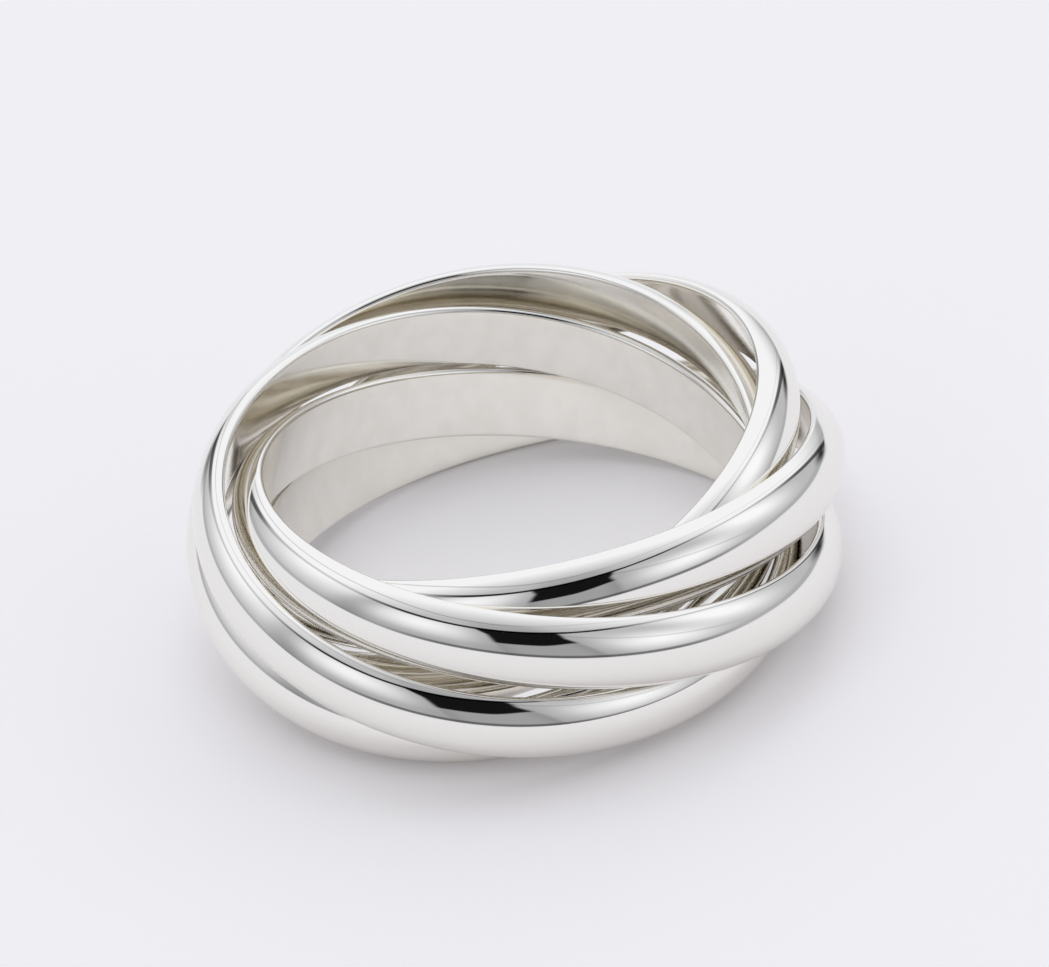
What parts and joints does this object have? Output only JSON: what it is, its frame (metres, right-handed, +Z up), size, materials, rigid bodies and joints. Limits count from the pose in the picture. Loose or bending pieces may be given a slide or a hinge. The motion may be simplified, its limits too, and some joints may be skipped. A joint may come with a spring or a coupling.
{
  "type": "russian wedding ring",
  "caption": "Finger ring of plain half-round silver bands, each linked through all the others, lying on its side with the bands fanned round each other.",
  "frame": {"origin": "centre of the footprint, on the surface that the ring lies on", "axes": "+Z up through the finger hole, +X to the right and -Y towards the viewer of the picture"},
  "size_m": [0.0242, 0.0244, 0.0085],
  "materials": {
    "silver": "polished sterling silver outside and on the rims, brushed to a fine satin on the flat inner faces"
  },
  "bodies": {
    "band_1": {"band_1": "silver"},
    "band_2": {"band_2": "silver"},
    "band_3": {"band_3": "silver"},
    "band_4": {"band_4": "silver"},
    "band_5": {"band_5": "silver"}
  },
  "joints": [
    {"name": "band_2_rolls", "type": "hinge", "parent": "band_1", "child": "band_2", "pos_m": [-0.00074, -0.00119, 0.00425], "axis": [0.2276, -0.1715, 0.9585], "continuous": true},
    {"name": "band_3_rolls", "type": "hinge", "parent": "band_1", "child": "band_3", "pos_m": [0.00066, -0.00127, 0.00411], "axis": [0.2368, 0.1313, 0.9626], "continuous": true},
    {"name": "band_4_rolls", "type": "hinge", "parent": "band_1", "child": "band_4", "pos_m": [0.00109, 0.00027, 0.00392], "axis": [-0.0437, 0.248, 0.9678], "continuous": true},
    {"name": "band_5_rolls", "type": "hinge", "parent": "band_1", "child": "band_5", "pos_m": [0.00011, 0.00119, 0.00411], "axis": [-0.2707, -0.0047, 0.9626], "continuous": true}
  ]
}
